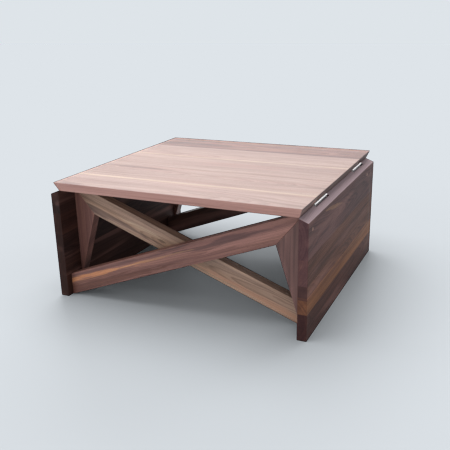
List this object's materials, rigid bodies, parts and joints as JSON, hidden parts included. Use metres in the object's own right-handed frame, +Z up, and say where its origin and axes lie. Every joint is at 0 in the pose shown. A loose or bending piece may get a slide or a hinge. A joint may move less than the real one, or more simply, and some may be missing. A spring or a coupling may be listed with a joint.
{
  "type": "coffee table",
  "caption": "Low square table in solid walnut whose hinged end leaves and crossed leg frames swing up to make a long dining table.",
  "frame": {"origin": "on the floor under the middle of the top", "axes": "+X from the left hinge line to the right one, +Z up, -Y the front, whose crossed frame has the right leaf's leg nearest"},
  "size_m": [0.7792, 0.729, 0.3565],
  "materials": {
    "top_walnut": "oiled",
    "leaf_walnut": "oiled",
    "frame_walnut": "oiled",
    "plug_wood": "oiled",
    "tenon_wood": "raw",
    "hinge_steel": "satin",
    "screw_steel": "satin"
  },
  "bodies": {
    "table_top": {"left_front_hinge_pin": "hinge_steel", "left_front_hinge_top_plate": "hinge_steel", "left_rear_hinge_pin": "hinge_steel", "left_rear_hinge_top_plate": "hinge_steel", "right_front_hinge_pin": "hinge_steel", "right_front_hinge_top_plate": "hinge_steel", "right_rear_hinge_pin": "hinge_steel", "right_rear_hinge_top_plate": "hinge_steel", "top_board_1": "top_walnut", "top_board_2": "top_walnut", "top_board_3": "top_walnut", "top_board_4": "top_walnut", "top_board_5": "top_walnut", "top_board_6": "top_walnut", "top_hinge_screws": "screw_steel"},
    "right_leaf": {"right_frame_dowels": "tenon_wood", "right_frame_plugs": "plug_wood", "right_frame_screws": "screw_steel", "right_front_hinge_leaf_plate": "hinge_steel", "right_inner_brace": "frame_walnut", "right_inner_leg": "frame_walnut", "right_inner_tenon": "tenon_wood", "right_leaf_board_1": "leaf_walnut", "right_leaf_board_2": "leaf_walnut", "right_leaf_board_3": "leaf_walnut", "right_leaf_board_4": "leaf_walnut", "right_leaf_board_5": "leaf_walnut", "right_leaf_hinge_screws": "screw_steel", "right_outer_brace": "frame_walnut", "right_outer_leg": "frame_walnut", "right_outer_tenon": "tenon_wood", "right_rear_hinge_leaf_plate": "hinge_steel"},
    "left_leaf": {"left_frame_dowels": "tenon_wood", "left_frame_plugs": "plug_wood", "left_frame_screws": "screw_steel", "left_front_hinge_leaf_plate": "hinge_steel", "left_inner_brace": "frame_walnut", "left_inner_leg": "frame_walnut", "left_inner_tenon": "tenon_wood", "left_leaf_board_1": "leaf_walnut", "left_leaf_board_2": "leaf_walnut", "left_leaf_board_3": "leaf_walnut", "left_leaf_board_4": "leaf_walnut", "left_leaf_board_5": "leaf_walnut", "left_leaf_hinge_screws": "screw_steel", "left_outer_brace": "frame_walnut", "left_outer_leg": "frame_walnut", "left_outer_tenon": "tenon_wood", "left_rear_hinge_leaf_plate": "hinge_steel"}
  },
  "joints": [
    {"name": "right_leaf_hinge", "type": "hinge", "parent": "table_top", "child": "right_leaf", "pos_m": [0.36355, 0, 0.3305], "axis": [0, -1, 0], "range_deg": [0, 90]},
    {"name": "left_leaf_hinge", "type": "hinge", "parent": "table_top", "child": "left_leaf", "pos_m": [-0.36355, 0, 0.3305], "axis": [0, 1, 0], "range_deg": [0, 90]}
  ]
}
